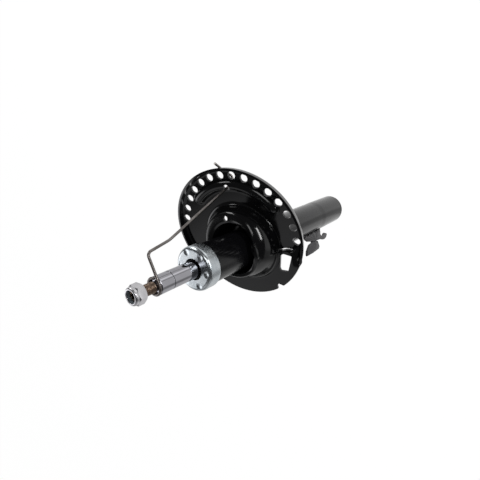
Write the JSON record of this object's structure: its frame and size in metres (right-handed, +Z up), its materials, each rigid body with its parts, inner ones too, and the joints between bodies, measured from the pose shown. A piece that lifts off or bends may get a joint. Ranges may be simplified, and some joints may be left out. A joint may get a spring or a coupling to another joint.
{
  "type": "suspension strut",
  "caption": "Twin-tube suspension strut with a tilted offset spring seat, chromed rod, lock nut, hose bracket and a restraint wire that holds the rod in.",
  "frame": {"origin": "centre of the outer tube's closed lower end, on the strut's axis", "axes": "+Z runs up the strut from the closed end to the stud; +X points to the raised side of the tilted spring seat; +Y completes the right-handed set"},
  "size_m": [0.1769, 0.181, 0.4568],
  "materials": {
    "tube_paint": "satin dark grey paint",
    "gloss_black": "deep gloss black paint",
    "bracket_paint": "satin dark grey paint",
    "zinc_plate": "blue-white zinc plating",
    "hard_chrome": "ground and polished hard chrome, with a brown phosphated stud",
    "wire_steel": "drawn steel wire with a dull grey-brown skin",
    "bare_steel": "drawn steel, oily",
    "spring_steel": "hardened strip steel",
    "sintered_iron": "matt sintered iron",
    "phosphate_steel": "phosphated steel",
    "bush_bronze": "bronze-backed bearing lining",
    "seal_rubber": "nitrile rubber",
    "band_plastic": "filled bearing plastic",
    "buffer_plastic": "moulded elastomer",
    "lock_plastic": "pale locking plastic"
  },
  "bodies": {
    "tube": {"strut_tube": "tube_paint", "bottom_cap": "tube_paint", "pressure_tube": "bare_steel", "base_valve_body": "sintered_iron", "base_valve_discs": "spring_steel", "base_valve_rivet": "bare_steel", "intake_plate": "spring_steel", "intake_spring": "spring_steel", "rod_guide": "sintered_iron", "guide_bush": "bush_bronze", "oil_seal": "seal_rubber", "seal_washer": "bare_steel", "top_cap": "zinc_plate", "spring_seat": "gloss_black", "seat_weld": "gloss_black", "hose_bracket": "bracket_paint", "lead_bracket": "bracket_paint", "bracket_welds": "bracket_paint"},
    "band": {"piston_band": "band_plastic"},
    "rod": {"piston_rod": "hard_chrome", "piston": "sintered_iron", "compression_discs": "spring_steel", "rebound_discs": "spring_steel", "piston_nut": "phosphate_steel", "rebound_stop": "bare_steel", "rebound_buffer": "buffer_plastic"},
    "insert": {"nut_insert": "lock_plastic"},
    "nut": {"top_nut": "zinc_plate"},
    "wire": {"restraint_wire": "wire_steel"}
  },
  "joints": [
    {"name": "rod_slide", "type": "slide", "parent": "tube", "child": "band", "axis": [0, 0, 1], "range_m": [-0.035, 0], "stiffness_N_per_m": 300, "springref_m": 0.2},
    {"name": "rod_spin", "type": "hinge", "parent": "band", "child": "rod", "pos_m": [0, 0, 0.4], "axis": [0, 0, 1], "continuous": true},
    {"name": "nut_travel", "type": "slide", "parent": "rod", "child": "insert", "axis": [0, 0, 1], "range_m": [-0.012, 0.0081]},
    {"name": "nut_turn", "type": "hinge", "parent": "insert", "child": "nut", "pos_m": [0, 0, 0.45], "axis": [0, 0, 1], "range_deg": [-3460, 2340]},
    {"name": "wire_tilt", "type": "hinge", "parent": "band", "child": "wire", "pos_m": [-0.00852, 0.00289, 0.4268], "axis": [-0.3206, -0.9472, 0], "range_deg": [0, 6]}
  ],
  "couplings": [
    {"joint": "nut_turn", "follows": "nut_travel", "rad_per_m": 5026.5},
    {"joint": "wire_tilt", "follows": "rod_slide", "rad_per_m": -2.95}
  ]
}
